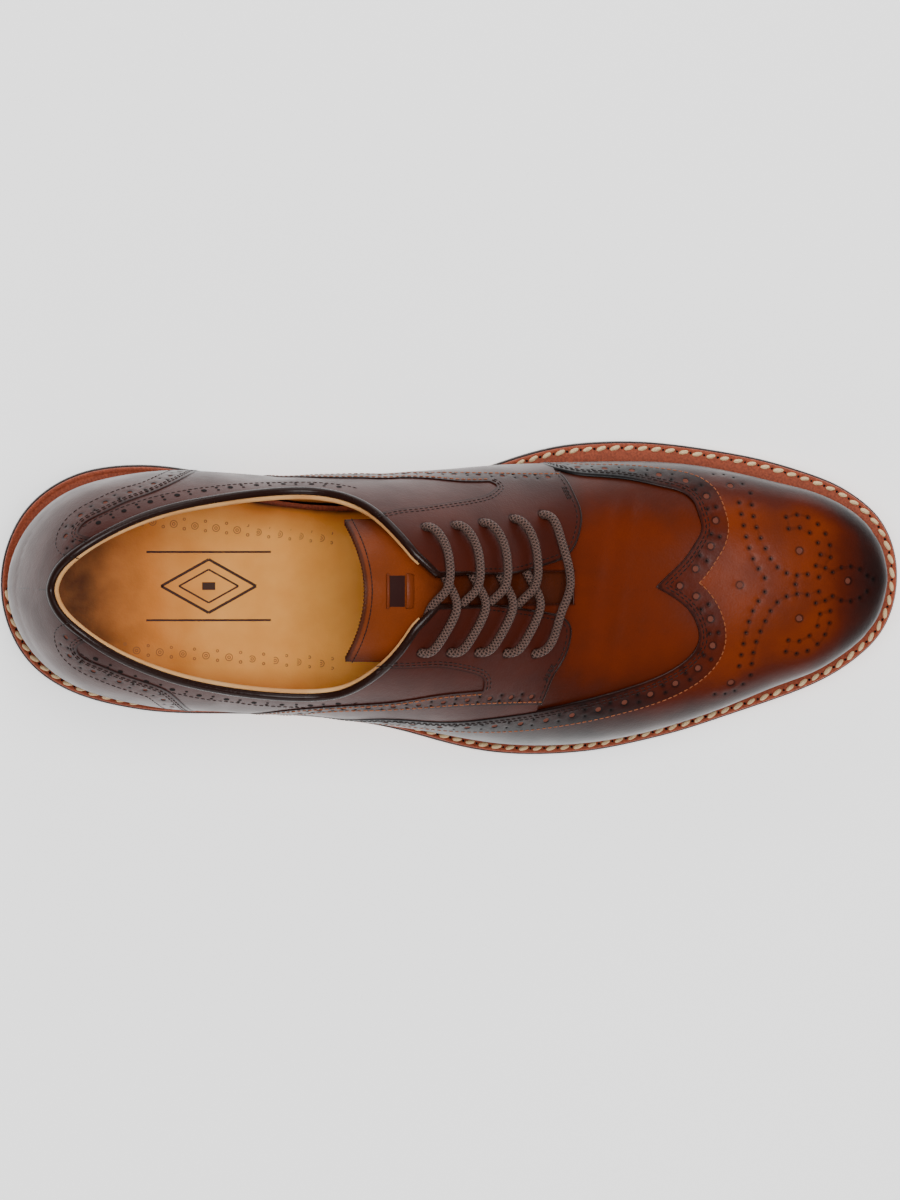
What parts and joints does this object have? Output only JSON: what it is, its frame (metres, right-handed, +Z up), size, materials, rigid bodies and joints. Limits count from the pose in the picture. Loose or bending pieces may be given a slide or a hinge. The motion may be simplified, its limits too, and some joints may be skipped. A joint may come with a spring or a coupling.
{
  "type": "wingtip_derby_brogue_shoe",
  "caption": "Brown leather wingtip derby brogue for the right foot, with an open collar, laced throat, welted leather sole and stacked heel",
  "frame": {"origin": "centre of the heel's face on the floor", "axes": "+X towards the toe, +Y towards the big-toe side, +Z up"},
  "size_m": [0.305, 0.1071, 0.1],
  "materials": {
    "upper_leather": "waxed calf, plum brown",
    "wingtip_leather": "burnished calf, cognac to dark at the edges",
    "binding_leather": "rolled and polished, near black brown",
    "tongue_leather": "smooth calf, russet",
    "insole_leather": "smooth lining leather, tan",
    "welt_leather": "oiled welt strip, reddish brown",
    "sole_leather": "stained and waxed edge, dark brown",
    "heel_rubber": "matte heel rubber, black brown",
    "lace_cord": "round waxed cotton cord, dull brown"
  },
  "bodies": {
    "root": {"outsole": "sole_leather", "welt": "welt_leather", "heel_block": "sole_leather", "top_lift": "heel_rubber", "insole": "insole_leather", "upper": "upper_leather", "wingtip": "wingtip_leather", "counter": "upper_leather", "facing_lateral": "upper_leather", "facing_medial": "upper_leather", "collar_binding": "binding_leather", "tongue": "tongue_leather", "lace_crossing_1": "lace_cord", "lace_crossing_2": "lace_cord", "lace_crossing_3": "lace_cord", "lace_crossing_4": "lace_cord", "lace_bar_5": "lace_cord"}
  },
  "joints": []
}
